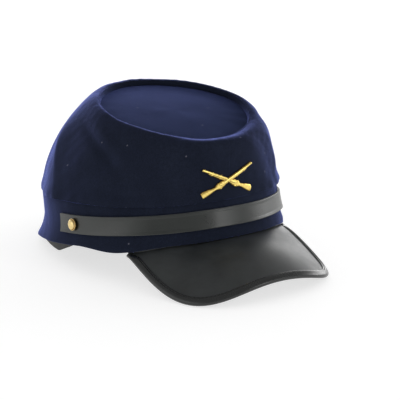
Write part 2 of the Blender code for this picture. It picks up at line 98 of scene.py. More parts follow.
# Peak and its rolled binding
PEAK_CORNER = math.radians(142.5)
PEAK_REACH = 91.8 * MM
PEAK_SQUARENESS = 3.0
PEAK_SLOPE = math.radians(31.5)
PEAK_ARCH = 35.5 * MM
PEAK_ARCH_POWER = 2.25
PEAK_TWIST = 1.2 * MM
PEAK_BULGE = 0.05
PEAK_WALL = 2.0 * MM
PEAK_TUCK = 3.5 * MM
BINDING_WIDTH = 6.2 * MM
BINDING_WALL = 1.1 * MM
BINDING_SLOT_GAP = 0.6 * MM
BINDING_END_SHARE = 0.4
BINDING_END_POWER = 8
SEAM_LAP = 1.15

# Strap, buttons and badge
STRAP_WIDTH = 14.0 * MM
STRAP_WALL = 1.8 * MM
STRAP_HEIGHT = 9.2 * MM
STRAP_END = math.radians(182.3)
BUTTON_RADIUS = 5.0 * MM
BUTTON_HEIGHT = 2.2 * MM
BUTTON_BACKSET = 15.0 * MM
BADGE_HALF_WIDTH = 21.8 * MM
BADGE_HALF_HEIGHT = 10.0 * MM
BADGE_HEIGHT = 43.6 * MM
BADGE_SIDE = -1.0 * MM
BADGE_RELIEF = 1.3 * MM
BADGE_STEP = 0.4 * MM
BADGE_LENGTH = 2 * math.hypot(BADGE_HALF_WIDTH, BADGE_HALF_HEIGHT)


def table(columns, *rows):
    """Rows of numbers, read by the names of their columns."""
    return [namedtuple("Row", columns)(*row) for row in rows]


FRONT, SIDE, BACK = table(
    "flare rise lean out crest",
    (0.20, 0.50, 0.055, 0.32, 0.04), (0.75, 0.43, -0.035, 0.11, 0.16), (1.00, 0.82, -0.02, 0.17, 0.17),
)

RIM_STATIONS = table(
    "degrees dip kick",
    (0, 0.0, 0.0), (28, 0.1, 0.0), (58, 1.0, 0.0), (80, 0.0, 0.0), (105, 0.05, 0.25),
    (128, 0.1, 0.5), (155, 0.0, 0.1), (180, 0.0, 0.0),
)

# Soft folds that the solids have too
FOLDS = table(
    "degrees slant spread middle half_length swell",
    (152, -26, 9, 0.46, 0.40, -1.0), (139, -16, 10, 0.10, 0.16, 0.9),
    (196, 11, 8, 0.24, 0.42, 0.9), (215, 11, 8, 0.26, 0.42, -0.7), (62, 6, 8, 0.40, 0.40, -0.8),
    (48, -4, 9, 0.12, 0.18, 0.9), (20, 20, 9, 0.45, 0.40, -0.8), (262, -10, 10, 0.45, 0.45, -0.7),
    (300, 12, 9, 0.35, 0.40, 0.8),
)

# Finer creases of the cloth: three points of each path as (degrees, rise), in mm the
# half width and the height, which is negative for a valley
CREASE_ROUND = 80.0
CREASE_CLIMB = 100.0
CREASE_STEPS = 12
CREASES = table(
    "start middle end width height",
    ((193, 0.62), (164, 0.52), (143, 0.22), 4.0, -1.50),
    ((186, 0.70), (160, 0.62), (139, 0.30), 4.6, 1.10),
    ((158, 0.12), (143, 0.07), (126, 0.10), 2.6, -0.45),
    ((150, 0.17), (136, 0.12), (120, 0.14), 3.0, 0.45),
    ((120, 0.20), (108, 0.13), (97, 0.16), 3.2, -0.35),
    ((80, 0.14), (70, 0.09), (60, 0.12), 3.0, -0.25),
    ((55, 0.66), (47, 0.36), (50, 0.08), 3.2, 0.50),
    ((47, 0.60), (40, 0.34), (42, 0.06), 4.0, -0.40),
    ((24, 0.60), (8, 0.40), (-4, 0.12), 3.8, -0.40),
    ((-20, 0.52), (-28, 0.30), (-24, 0.02), 3.0, 0.55),
    ((238, 0.58), (246, 0.36), (242, 0.10), 4.2, -0.45),
    ((288, 0.62), (296, 0.40), (306, 0.14), 4.2, 0.40),
    ((280, 0.30), (272, 0.14), (262, 0.12), 3.2, -0.35),
)

# The sharp fold at the wearer's right rear, as (degrees, rise), and its sides in mm
RIDGE = (
    (185.0, 0.0), (187.5, 0.14), (191.0, 0.245), (197.0, 0.345),
    (202.0, 0.42), (212.0, 0.56), (222.0, 0.72),
)
RIDGE_HEIGHT = 2.4 * MM
RIDGE_BEFORE = 20.0
RIDGE_BEHIND = 8.0
RIDGE_ROUND = 0.12
RIDGE_TOP = 0.66
RIDGE_FADE = 0.25

# Outline of a rifle from its butt to its muzzle, all as shares of its length
STOCK = table(
    "along drop above below",
    (0.00, 0.010, 0.046, 0.048), (0.03, 0.009, 0.057, 0.058), (0.12, 0.004, 0.049, 0.047),
    (0.20, 0.000, 0.032, 0.031), (0.25, -0.002, 0.026, 0.030), (0.30, 0.000, 0.051, 0.055),
    (0.385, 0.000, 0.051, 0.055), (0.44, 0.000, 0.033, 0.038), (0.60, -0.004, 0.031, 0.031),
    (0.85, -0.005, 0.026, 0.025), (0.88, -0.005, 0.015, 0.016),
)
BARREL_START = 0.345
BARREL_ABOVE = 0.008
BARREL_BREECH = 0.028
BARREL_MUZZLE = 0.023
BARREL_BANDS = (0.50, 0.66, 0.82)
BUTT_ABOVE = 0.044
BUTT_BELOW = 0.046
LOCK = table(
    "centre up half_length tall raised",
    (0.345, 0.020, 0.028, 0.022, 0.70), (0.318, 0.040, 0.018, 0.017, 0.70),
    (0.335, -0.043, 0.022, 0.017, 0.62),
)

# Gentle waves round the cap: the height in mm, the seed, the fewest and most turns, and
# how fast they change along the piece
Wave = namedtuple("Wave", "height seed turns climb")
WAVE_COUNT = 9
WAVE_PEAK = 1.4
GATHERS = Wave(0.30, 11, (18, 46), 3)
WIDE_GATHERS = Wave(0.35, 12, (5, 14), 2)
WALL_WAVE = Wave(0.46, 13, (4, 12), 9)
WALL_FINE_WAVE = Wave(0.07, 14, (20, 60), 40)
LIP_WAVE = Wave(0.16, 15, (22, 70), 1)
BAND_WAVE = Wave(0.16, 21, (5, 16), 2)
BAND_FINE_WAVE = Wave(0.05, 22, (24, 60), 2)
TOP_PULL = Wave(0.25, 31, (9, 26), 2)
TOP_SAG = Wave(0.22, 32, (1, 4), 3)
SWEATBAND_WAVE = Wave(0.12, 41, (6, 22), 2)
PEAK_WAVE = Wave(0.22, 51, (1, 4), 4)
STRAP_DRIFT = Wave(0.18, 61, (3, 9), 1)

# Sewn seams: where they run, how far to the wearer's left, their depth and welts in mm
FRONT_SEAM, BACK_SEAM, BAND_SEAM = table(
    "turn side deep welt",
    (0.5 * math.pi, 0.8, 0.12, 0.06), (1.5 * math.pi, -0.3, 0.45, 0.14), (1.5 * math.pi, -0.3, 0.40, 0.12),
)
SEAM_HALF_WIDTH = 0.55 * MM
SEAM_WELT_WIDTH = 5.0 * MM
SEAM_WELT_EDGE = 0.5 * MM

# How the crown's foot bulges over the band, and how its relief ends at the lip
FOOT_DEPTH = 1.4 * MM
FOOT_ROUND = 0.25 * MM
FOOT_RISE = 1.2 * MM
FOOT_FADE = 5.5 * MM
FOOT_PROUD = 1.50 * MM
FOOT_PROUD_FRONT = 0.50 * MM
LIP_FADE = 0.06
TOP_EXTRA_PUFF = 1.3 * MM

# Fine divisions and tucks
FINE_COLUMNS = 360
SEAM_COLUMNS = 56
SEAM_REACH = math.radians(4)
SEAM_TAIL = 2.4 * MM
LAP_INSET = 2.65 * MM
LAP_LOW = -0.35 * MM
LAP_TOP = 0.75 * MM
PEAK_END_LIFT = 0.9 * MM
PEAK_END_LIFT_POWER = 30
PEAK_ROUND = 250 * MM
LIP_CLEARANCE = 0.15 * MM
GROOVE_SHARE = 0.42
BINDING_ROUND = 330 * MM

# A stitch: its sizes, and (place along it, width, lift) over its first half
STITCH_LENGTH = 2.3 * MM
STITCH_GAP = 0.8 * MM
STITCH_RADIUS = 0.24 * MM
STITCH_SIDES = 7
STITCH_PLACE = 0.81
STITCH_SEAT = 0.05 * MM
STITCH_PROFILE = ((0.0, 0.35, -0.9), (0.10, 0.8, -0.25), (0.3, 1.0, 0.35), (0.5, 1.0, 0.45))

# The strap's edge, as (distance from it, depth below the face) in mm
STRAP_EDGE = ((0, 0.9), (0, 0.30), (0.12, 0.12), (0.30, 0.05), (0.9, 0), (1.25, 0.10), (1.6, 0))
STRAP_CROWN = 0.18 * MM
STRAP_LEAN = 0.8 * MM

# A stud's outline, as (radius, height) in shares of the button that it stands for
STUD_SIDES = 56
STUD_WIDTH_SHARE = 0.93
STUD_HEIGHT_SHARE = 1.35
STUD_PROFILE = (
    (0.02, 1.0), (0.22, 0.995), (0.42, 0.965), (0.58, 0.915), (0.70, 0.845), (0.78, 0.76),
    (0.815, 0.66), (0.825, 0.52), (0.835, 0.42), (0.86, 0.40), (0.885, 0.46), (0.925, 0.52),
    (0.965, 0.50), (0.992, 0.40), (1.0, 0.25), (0.985, 0.08), (0.95, 0.0), (0.5, 0.0), (0.02, 0.0),
)

# Looks
WEAVE_PITCH = 0.75 * MM
FIBRE_COLOUR = (0.045, 0.055, 0.12, 1.0)
LINT_COLOUR = (0.11, 0.11, 0.14, 1.0)
LINT_SCALE = 21.0
# Shares of the brass colour for its painted shade in hollows and along edges
SHADE_SHARES = (0.36, 0.23, 0.08)

# Bright walls of the studio: azimuth from behind the cap towards the wearer's left, half
# width in degrees, softness, top and fade as sines of the elevation, and strength. An
# upright wall keeps its width at every height, and the others narrow upward.
WALLS = table(
    "azimuth half_width softness top fade strength upright",
    (75, 56, 0.26, 0.68, 0.62, 2.5, False), (14, 44, 0.20, 0.68, 0.40, 2.2, False),
    (40, 18, 0.030, 0.40, 0.30, 3.0, True), (155, 7, 0.007, 0.62, 0.30, 4.4, True),
    (78, 20, 0.050, 0.50, 0.30, 3.8, True), (-78, 44, 0.30, 0.65, 0.45, 1.2, False),
)
CEILING = 0.50
LAMP_PLACE = (1.7, -0.35, 0.35)
LAMP_TARGET = (0, 0, 0.06)
LAMP_SIZE = (0.5, 0.6)
LAMP_WATTS = 2.4
FLOOR_HALF = 6.0


def power(value, exponent):
    """A power that keeps the sign of its base."""
    return np.sign(value) * np.abs(value) ** exponent


def unit(vectors):
    """Vectors of length one along the last axis."""
    return vectors / np.linalg.norm(vectors, axis=-1, keepdims=True)


def points(x, y, z):
    """Joins coordinates into points, whatever their shapes."""
    return np.stack(np.broadcast_arrays(x, y, z), axis=-1)


def ease(share):
    """A share from 0 to 1, eased at both ends."""
    share = np.clip(share, 0, 1)
    return share * share * (3 - 2 * share)


def bell(away):
    """A rounded peak: 1 in the middle, next to nothing from 2 on."""
    return np.exp(-(away**2))


def bow(start, corner, end, share):
    """Points of the curve from start to end that a corner pulls to its side."""
    return start * (1 - share) ** 2 + 2 * corner * share * (1 - share) + end * share**2


def stretches(*parts):
    """Values over stretches that follow each other, each a (start, end, steps)."""
    values = [np.linspace(start, end, steps + 1)[:-1] for start, end, steps in parts]
    return np.append(np.concatenate(values), parts[-1][1])


def read_table(rows, column, place):
    """One column of a table at a place in its first column, eased between the rows."""
    places = np.array([row[0] for row in rows])
    values = np.array([getattr(row, column) for row in rows])
    row = np.clip(np.searchsorted(places, place, side="right") - 1, 0, len(rows) - 2)
    share = ease((place - places[row]) / (places[row + 1] - places[row]))
    return values[row] + (values[row + 1] - values[row]) * share


def round_the_cap(angle, column):
    """A share that goes from the front over the sides to the back."""
    ahead = np.sin(angle)
    end = np.where(ahead > 0, getattr(FRONT, column), getattr(BACK, column))
    return end * ahead**2 + getattr(SIDE, column) * (1 - ahead**2)


def head_outline(angle, offset, squareness):
    """The head outline, moved outward by an offset."""
    ahead = np.sin(angle)
    depth = np.where(ahead > 0, HEAD_FRONT, HEAD_BACK) + offset
    x = (HEAD_HALF_WIDTH + offset) * power(np.cos(angle), 2 / squareness)
    y = -depth * power(ahead, 2 / squareness)
    return x, y


def read_rim(angle, column):
    """One column of the rim's table, the same on both sides of the cap."""
    degrees_from_front = np.degrees(np.arccos(np.clip(np.sin(angle), -1, 1)))
    return read_table(RIM_STATIONS, column, degrees_from_front)


def band_point(angle, height, inset=0.0):
    """A point of the band's outside at a height, or further in."""
    flare = round_the_cap(angle, "flare") + read_rim(angle, "kick")
    share = np.clip(1 - height / FLARE_RISE, 0, 1)
    offset = RIM_FLARE * flare * share**2 - inset
    x, y = head_outline(angle, offset, HEAD_SQUARENESS)
    return points(x, y, height)


def band_normal(angle, height):
    """The outward direction of the band, level with the rim."""
    step = 1e-3
    along = band_point(angle + step, height) - band_point(angle - step, height)
    return unit(points(-along[..., 1], along[..., 0], 0.0))


def rim_height(angle):
    """Height of the band's lower edge."""
    return -RIM_DIP * read_rim(angle, "dip")


def band_top(angle):
    """Height of the band's upper edge."""
    ahead = (1 + np.sin(angle)) / 2
    return BAND_HEIGHT_BACK + (BAND_HEIGHT_FRONT - BAND_HEIGHT_BACK) * ahead


def opening_point(angle, inset, drop, share=1.0):
    """A point of the sunk top's edge, or of a ring inside it, below the edge by a drop."""
    side = np.cos(angle)
    ahead = np.sin(angle)
    across = (TOP_HALF_WIDTH - inset) * power(side, 2 / TOP_SQUARENESS)
    along = -(TOP_HALF_LENGTH - inset) * power(ahead, 2 / TOP_SQUARENESS)
    saddle = TOP_SADDLE * (side**2 - 0.5) * share**2
    x = share * across * (1 + TOP_EGG * ahead)
    y = TOP_CENTRE_Y + share * along * math.cos(TOP_PITCH) + drop * math.sin(TOP_PITCH)
    z = TOP_HEIGHT + share * along * math.sin(TOP_PITCH) - drop * math.cos(TOP_PITCH)
    return points(x, y, z + saddle)


def fold_swell(angle, rise):
    """How far the soft folds move the crown's wall outward."""
    total = np.zeros(np.broadcast(angle, rise).shape)
    for fold in FOLDS:
        along = (rise - fold.middle) / fold.half_length
        centre = math.radians(fold.degrees) + math.radians(fold.slant) * along
        turn = (angle - centre + math.pi) % (2 * math.pi) - math.pi
        across = turn / math.radians(fold.spread)
        total = total + fold.swell * np.exp(-(across**2) - along**4)
    return FOLD_DEPTH * total


def crown_point(angle, rise):
    """A point of the crown's outside, from its foot (rise 0) to the opening (rise 1)."""
    angle, rise = np.broadcast_arrays(angle, rise)
    tall = TOP_HEIGHT - band_top(angle)

    def handle(column, way):
        return (tall * round_the_cap(angle, column))[..., None] * way

    outward = points(np.cos(angle), -np.sin(angle), 0.0)
    top_normal = np.array([0.0, -math.sin(TOP_PITCH), math.cos(TOP_PITCH)])
    x, y = head_outline(angle, -CROWN_INSET, CROWN_SQUARENESS)
    foot = points(x, y, band_top(angle) + GAP)
    edge = opening_point(angle, 0.0, 0.0)
    lower = foot + handle("rise", np.array([0.0, 0.0, 1.0])) + handle("lean", outward)
    upper = edge + handle("out", outward) + handle("crest", top_normal)
    here = rise[..., None]
    left = 1 - here
    wall = foot * left**3 + 3 * lower * here * left**2
    wall = wall + 3 * upper * here**2 * left + edge * here**3
    return wall + fold_swell(angle, rise)[..., None] * outward


def crown_normal(angle, rise):
    """The outward direction of the crown's wall."""
    step = 1e-3
    along = crown_point(angle + step, rise) - crown_point(angle - step, rise)
    upward = crown_point(angle, rise + step) - crown_point(angle, rise - step)
    return unit(np.cross(upward, along))


def spread_evenly(curve, shares):
    """Points at shares of a curve's length."""
    lengths = np.linalg.norm(np.diff(curve, axis=0), axis=1)
    along = np.concatenate([[0.0], np.cumsum(lengths)])
    return np.stack([np.interp(shares * along[-1], along, axis) for axis in curve.T], axis=-1)


def end_share(share):
    """Nothing along most of the peak, rising to 1 at its two ends."""
    return np.abs(2 * share - 1) ** BINDING_END_POWER


def binding_half_height(share):
    """Half the height of the binding, which thins towards its two ends."""
    wall = BINDING_WALL * (1 - (1 - BINDING_END_SHARE) * end_share(share))
    return PEAK_WALL / 2 + BINDING_SLOT_GAP + wall


def peak_seam(share):
    """Where the peak is sewn under the band, from the wearer's right to the left."""
    angle = np.linspace(PEAK_CORNER, math.pi - PEAK_CORNER, 2000)
    seam = band_point(angle, rim_height(angle), PEAK_TUCK)
    seam = spread_evenly(seam, share)
    thin = binding_half_height(share) - PEAK_WALL / 2
    seam[..., 2] -= GAP + SEAM_LAP * PEAK_WALL / 2 + thin * end_share(share)
    return seam


def peak_edge(share):
    """The free edge of the peak, from the wearer's right to the left."""
    angle = np.linspace(math.pi, 0, 4000)
    corner = band_point(PEAK_CORNER, rim_height(PEAK_CORNER))
    half_width = -corner[0]
    x = half_width * power(np.cos(angle), 2 / PEAK_SQUARENESS)
    reach = PEAK_REACH * np.abs(np.sin(angle)) ** (2 / PEAK_SQUARENESS)
    across = x / half_width
    arch = PEAK_ARCH * (1 - np.abs(across) ** PEAK_ARCH_POWER)
    twist = PEAK_TWIST * across * reach / PEAK_REACH
    drop = GAP + binding_half_height(0.0)
    z = corner[2] - drop - reach * math.tan(PEAK_SLOPE) + arch + twist
    z = z + PEAK_END_LIFT * np.abs(across) ** PEAK_END_LIFT_POWER
    return spread_evenly(points(x, corner[1] - reach, z), share)


def peak_point(share, out):
    """A point of the peak's middle surface, from its seam (out 0) to its edge (out 1)."""
    seam = peak_seam(share)
    edge = peak_edge(share)
    length = np.linalg.norm(edge - seam, axis=-1)
    level = seam + (edge - seam) * out[..., None]
    level[..., 2] += PEAK_BULGE * length * 4 * out * (1 - out)
    return level


def peak_normal(share, out):
    """The upward direction of the peak's surface."""
    step = 1e-3
    before = np.clip(share - step, 0, 1)
    after = np.clip(share + step, 0, 1)
    along = peak_point(after, out) - peak_point(before, out)
    outward = peak_point(share, out + step) - peak_point(share, out - step)
    return unit(np.cross(outward, along))


def peak_inward(share):
    """The direction in the peak's surface that leads square away from its edge."""
    step = 1e-3
    along = peak_edge(np.clip(share + step, 0, 1)) - peak_edge(np.clip(share - step, 0, 1))
    return unit(np.cross(peak_normal(share, np.ones_like(share)), along))


def strap_point(angle, height, out):
    """A point off the band's outside, where the strap lies."""
    return band_point(angle, height) + np.asarray(out)[..., None] * band_normal(angle, height)


def ripple(wave, angle, along):
    """The height of gentle waves round the cap, in metres."""
    dice = np.random.default_rng(wave.seed)
    total = np.zeros(np.broadcast(angle, along).shape)
    for _ in range(WAVE_COUNT):
        turn = dice.integers(wave.turns[0], wave.turns[1] + 1)
        lift = dice.uniform(-wave.climb, wave.climb)
        phase = dice.uniform(0, 2 * math.pi)
        total = total + np.cos(turn * angle + lift * along + phase)
    return wave.height * MM * (total / WAVE_COUNT**0.5 / WAVE_PEAK)


def crease_height(angle, rise, crease):
    """Height of one crease over the cloth, in metres."""
    path = np.array([crease.start, crease.middle, crease.end], dtype=float)
    path = np.stack([np.radians(path[:, 0]) * CREASE_ROUND, path[:, 1] * CREASE_CLIMB], axis=1)
    curve = bow(*path, np.linspace(0, 1, CREASE_STEPS + 1)[:, None])
    centre = math.radians(crease.middle[0])
    turn = (angle - centre + math.pi) % (2 * math.pi) - math.pi + centre
    x, y = np.broadcast_arrays(turn * CREASE_ROUND, rise * CREASE_CLIMB)
    nearest = np.full(x.shape, np.inf)
    place = np.zeros(x.shape)
    for k in range(CREASE_STEPS):
        start = curve[k]
        step = curve[k + 1] - start
        t = np.clip(((x - start[0]) * step[0] + (y - start[1]) * step[1]) / (step @ step), 0, 1)
        away = np.hypot(x - start[0] - t * step[0], y - start[1] - t * step[1])
        place = np.where(away < nearest, (k + t) / CREASE_STEPS, place)
        nearest = np.minimum(nearest, away)
    taper = np.sin(np.pi * np.clip(place, 0.02, 0.98)) ** 0.7
    return crease.height * MM * taper * bell(nearest / crease.width)


def ridge_height(angle, rise):
    """The sharp fold at the wearer's right rear: gentle before its line, steep behind it."""
    line = np.interp(rise, [row[1] for row in RIDGE], [row[0] for row in RIDGE])
    before = (np.radians(line) - angle) * CREASE_ROUND
    wide = np.where(before > 0, RIDGE_BEFORE, RIDGE_BEHIND)
    fade = ease((RIDGE_TOP - rise) / RIDGE_FADE)
    rounded = np.sqrt((before / wide) ** 2 + RIDGE_ROUND**2) - RIDGE_ROUND
    return RIDGE_HEIGHT * np.exp(-rounded) * fade


def seam_relief(angle, place, seam):
    """A sewn seam of the crown or band: a narrow valley between two low welts."""
    near = np.abs(angle - seam.turn) < math.radians(12)
    away = np.abs(place[..., 0] - seam.side * MM)
    valley = -seam.deep * MM * bell(away / SEAM_HALF_WIDTH)
    shoulder = 1 / (1 + np.exp((away - SEAM_WELT_WIDTH) / SEAM_WELT_EDGE))
    return near * (valley + seam.welt * MM * shoulder)


def crown_relief(angle, rise):
    """Seams, creases, gathers and unevenness over the crown's plain shape."""
    place = crown_point(angle, rise)
    above = place[..., 2] - band_top(angle)
    foot = np.clip(above / FOOT_ROUND, 0, 1) * bell(np.maximum(above - FOOT_RISE, 0) / FOOT_FADE)
    proud = FOOT_PROUD + FOOT_PROUD_FRONT * np.clip((np.sin(angle) - 0.55) / 0.3, 0, 1)
    gathers = ripple(GATHERS, angle, rise) + ripple(WIDE_GATHERS, angle, rise)
    total = (proud + 1.1 * gathers) * foot
    total = total + ripple(WALL_WAVE, angle, rise) + ripple(WALL_FINE_WAVE, angle, rise)
    total = total + ridge_height(angle, rise)
    for crease in CREASES:
        total = total + crease_height(angle, rise, crease)
    total = total + seam_relief(angle, place, FRONT_SEAM) + seam_relief(angle, place, BACK_SEAM)
    return total * ease((1 - rise) / LIP_FADE)


def fine_angles():
    """Angles of the columns round the cap, closer together at the two crown seams."""
    angles = np.arange(FINE_COLUMNS) * 2 * math.pi / FINE_COLUMNS
    for seam in (0.5 * math.pi, 1.5 * math.pi):
        angles = angles[np.abs(angles - seam) > SEAM_REACH + 1e-6]
        close = seam + np.linspace(-SEAM_REACH, SEAM_REACH, SEAM_COLUMNS + 1)
        angles = np.concatenate([angles, close])
    return np.sort(angles)


def soften(corners, steps):
    """Rows of points through (corner, radius in mm) pairs, each corner rounded by its radius."""
    rows = []
    for k, (corner, radius) in enumerate(corners):
        if np.all(radius == 0):
            rows.append(corner)
            continue
        ends = []
        for beside in (corners[k - 1][0], corners[(k + 1) % len(corners)][0]):
            away = beside - corner
            length = np.minimum(radius * MM, 0.45 * np.linalg.norm(away, axis=-1))
            ends.append(corner + length[..., None] * unit(away))
        rows += [bow(ends[0], corner, ends[1], share) for share in np.linspace(0, 1, steps)]
    return np.stack(rows, axis=1)


def edged(grid, first=0, last=0):
    """The columns of a grid, with the radii in mm that round the first and the last."""
    radii = [first] + [0] * (grid.shape[1] - 2) + [last]
    return list(zip(np.moveaxis(grid, 1, 0), radii))


def grid_faces(rows, columns, ring):
    """Faces over a grid: a ring, or a bar with two flat ends."""
    row, column = np.divmod(np.arange((rows if ring else rows - 1) * columns), columns)
    line = np.stack([row, row + 1, row + 1, row], axis=1)
    side = np.stack([column, column, column + 1, column + 1], axis=1)
    faces = ((line % rows) * columns + side % columns).tolist()
    if not ring:
        faces += [list(range(columns)), list(range((rows - 1) * columns, rows * columns))]
    return line, side, faces


def grid_mesh(name, grid, around=None, ring=False):
    """A mesh over a grid, mapped in metres along and round it, or else by its x and y."""
    rows, columns = grid.shape[:2]
    line, side, faces = grid_faces(rows, columns, ring)
    vertices = grid.reshape(-1, 3)
    if around is None:
        return new_mesh(name, vertices, faces)
    steps = np.linalg.norm(np.diff(grid, axis=1, append=grid[:, :1]), axis=-1)
    climb = np.concatenate([np.zeros((rows, 1)), np.cumsum(steps, axis=1)], axis=1)
    u = np.append(around, around[0] + (around[-1] - around[0]) * rows / (rows - 1))
    uv = np.stack([u[line], climb[line % rows, side]], axis=-1).reshape(-1, 2)
    ends = np.zeros((0 if ring else 2 * columns, 2))
    return new_mesh(name, vertices, faces, np.concatenate([uv, ends]))


def new_mesh(name, vertices, faces, uv=None):
    """A mesh with a map for its weave or grain, and every face turned outward."""
    mesh = bpy.data.meshes.new(name)
    mesh.from_pydata(vertices.tolist(), [], faces)
    if uv is None:
        uv = vertices[np.concatenate(faces), :2]
    mesh.uv_layers.new(name="weave").data.foreach_set("uv", uv.astype(np.float32).ravel())
    body = bmesh.new()
    body.from_mesh(mesh)
    bmesh.ops.recalc_face_normals(body, faces=body.faces)
    body.to_mesh(mesh)
    body.free()
    return mesh


REST = Matrix.Translation(CAP_PLACE) @ Euler(CAP_TURN, "XYZ").to_matrix().to_4x4()


def add_object(name, data):
    """Adds an object to the scene."""
    added = bpy.data.objects.new(name, data)
    bpy.context.scene.collection.objects.link(added)
    return added


def add_piece(name, mesh, materials, node=None, sharp=None):
    """Adds a mesh to the scene where the cap rests, and hides the solid that it stands for."""
    mesh.name = name
    mesh.transform(REST)
    mesh.shade_smooth()
    if sharp is not None:
        mesh.set_sharp_from_angle(angle=math.radians(sharp))
    for material in materials:
        mesh.materials.append(material)
    piece = add_object(name, mesh)
    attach(piece, "root")
    if node:
        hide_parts(node)


def add_ring(name, corners, material, node, steps=6, sharp=None):
    """Adds a piece that goes round the cap, from the corners of its section."""
    mesh = grid_mesh(name, soften(corners, steps), fine_angles() * HEAD_HALF_WIDTH, ring=True)
    add_piece(name, mesh, [material], node, sharp)


# Materials


def start_material(name):
    """A material with one shader, and its node tree."""
    material = bpy.data.materials.new(name)
    material.use_nodes = True
    tree = material.node_tree
    return material, tree, tree.nodes["Principled BSDF"]


def feed(node, inputs):
    """Sets a node's inputs by name or place, or links them to other nodes' outputs."""
    for key, value in inputs.items():
        if isinstance(value, bpy.types.NodeSocket):
            node.id_data.links.new(value, node.inputs[key])
        else:
            node.inputs[key].default_value = value


def add_node(tree, kind, inputs, output=0, **settings):
    """Adds a node with its settings and inputs, and gives one of its outputs."""
    node = tree.nodes.new("ShaderNode" + kind)
    for key, value in settings.items():
        setattr(node, key, value)
    feed(node, inputs)
    return node.outputs[output]


def noise(where, scale, detail=2.0, roughness=0.5):
    """A noise texture's value."""
    inputs = {"Vector": where, "Scale": scale, "Detail": detail, "Roughness": roughness}
    return add_node(where.id_data, "TexNoise", inputs)


def reach(value, low, high, to_low=0.0, to_high=1.0, **settings):
    """Maps one range of a value to another."""
    inputs = {"Value": value, 1: low, 2: high, 3: to_low, 4: to_high}
    return add_node(value.id_data, "MapRange", inputs, **settings)


def blend(share, first, second):
    """A colour between two colours or sockets."""
    return add_node(share.id_data, "Mix", {0: share, 6: first, 7: second}, 2, data_type="RGBA")


def add_up(first, second, operation="ADD"):
    """One sum, or another operation, on two values."""
    return add_node(first.id_data, "Math", {0: first, 1: second}, operation=operation)


def bumps(*layers):
    """The normal of bumps over each other, each a (height, distance in mm, strength)."""
    normal = {}
    for height, distance, strength in layers:
        inputs = {"Height": height, "Distance": distance * MM, "Strength": strength, **normal}
        normal = {"Normal": add_node(height.id_data, "Bump", inputs)}
    return normal["Normal"]


def tone(colour, share):
    """A colour made darker or lighter, with its alpha."""
    return (*[part * share for part in colour], 1.0)


def cloth_material(name, colour, sheen):
    """Navy wool-blend cloth: a fine plain weave under a short nap, with specks of lint."""
    material, tree, shader = start_material(name)
    solid = add_node(tree, "TexCoord", {}, "Object")
    woven = add_node(tree, "TexCoord", {}, "UV")
    wave = {"Vector": woven, "Scale": 2 * math.pi / (20 * WEAVE_PITCH), "Distortion": 1.2}
    wave.update({"Detail": 2.0, "Detail Scale": 1.5})
    threads = [add_node(tree, "TexWave", wave, "Fac", bands_direction=way) for way in "XY"]
    weave = add_up(*threads)
    nap = noise(solid, 2600, 3, 0.65)
    tufts = noise(solid, 420, 3, 0.6)
    patches = noise(solid, 34, 3, 0.55)
    fibres = reach(noise(solid, 1500, 2, 0.5), 0.35, 0.75)
    mottle = blend(reach(patches, 0.35, 0.68), tone(colour, 0.78), tone(colour, 1.20))
    darker = blend(reach(tufts, 0.3, 0.7), tone(colour, 0.80), mottle)
    lit = blend(add_up(fibres, 0.16, "MULTIPLY"), darker, FIBRE_COLOUR)
    cells = {"Vector": woven, "Scale": LINT_SCALE, "Randomness": 1.0}
    cells = add_node(tree, "TexVoronoi", cells, voronoi_dimensions="2D")
    feed(shader, {
        "Base Color": blend(reach(cells, 0.018, 0.006), lit, LINT_COLOUR),
        "Roughness": reach(tufts, 0.3, 0.7, 0.78, 0.94),
        "Normal": bumps((weave, 0.05, 0.5), (nap, 0.10, 0.55), (tufts, 0.16, 0.35)),
        "Specular IOR Level": 0.02,
        "Sheen Weight": sheen,
        "Sheen Roughness": 0.30,
        "Sheen Tint": (0.30, 0.37, 1.0, 1.0),
    })
    return material


def leather_material(name, colour, rough, pebble=0.7, depth=0.05, specular=0.5):
    """Smooth black imitation leather: a fine pebble (mm), faint pores and rubbed patches."""
    material, tree, shader = start_material(name)
    place = add_node(tree, "TexCoord", {}, "Object")
    bend = add_node(tree, "TexNoise", {"Vector": place, "Scale": 700, "Detail": 2.0}, "Color")
    bent = {0: bend, 1: (0.5 * pebble * MM,) * 3, 2: place}
    bent = add_node(tree, "VectorMath", bent, operation="MULTIPLY_ADD")
    cells = {"Vector": bent, "Scale": 1 / (pebble * MM), "Smoothness": 0.6}
    cells = add_node(tree, "TexVoronoi", cells, feature="SMOOTH_F1")
    pores = reach(noise(place, 2400, 2), 0.30, 0.42)
    patches = noise(place, 48, 4, 0.6)
    fine = reach(noise(place, 900, 3, 0.6), 0.3, 0.7, -0.03, 0.04)
    uneven = add_up(reach(patches, 0.3, 0.7, -0.05, 0.06), fine)
    shade = reach(patches, 0.35, 0.7)
    feed(shader, {
        "Base Color": blend(shade, tone(colour, 0.8), tone(colour, 1.35)),
        "Roughness": add_up(uneven, rough),
        "Normal": bumps((cells, depth, 0.5), (pores, 0.4 * depth, 0.4), (patches, 0.5, 0.12)),
        "Specular IOR Level": specular,
    })
    return material


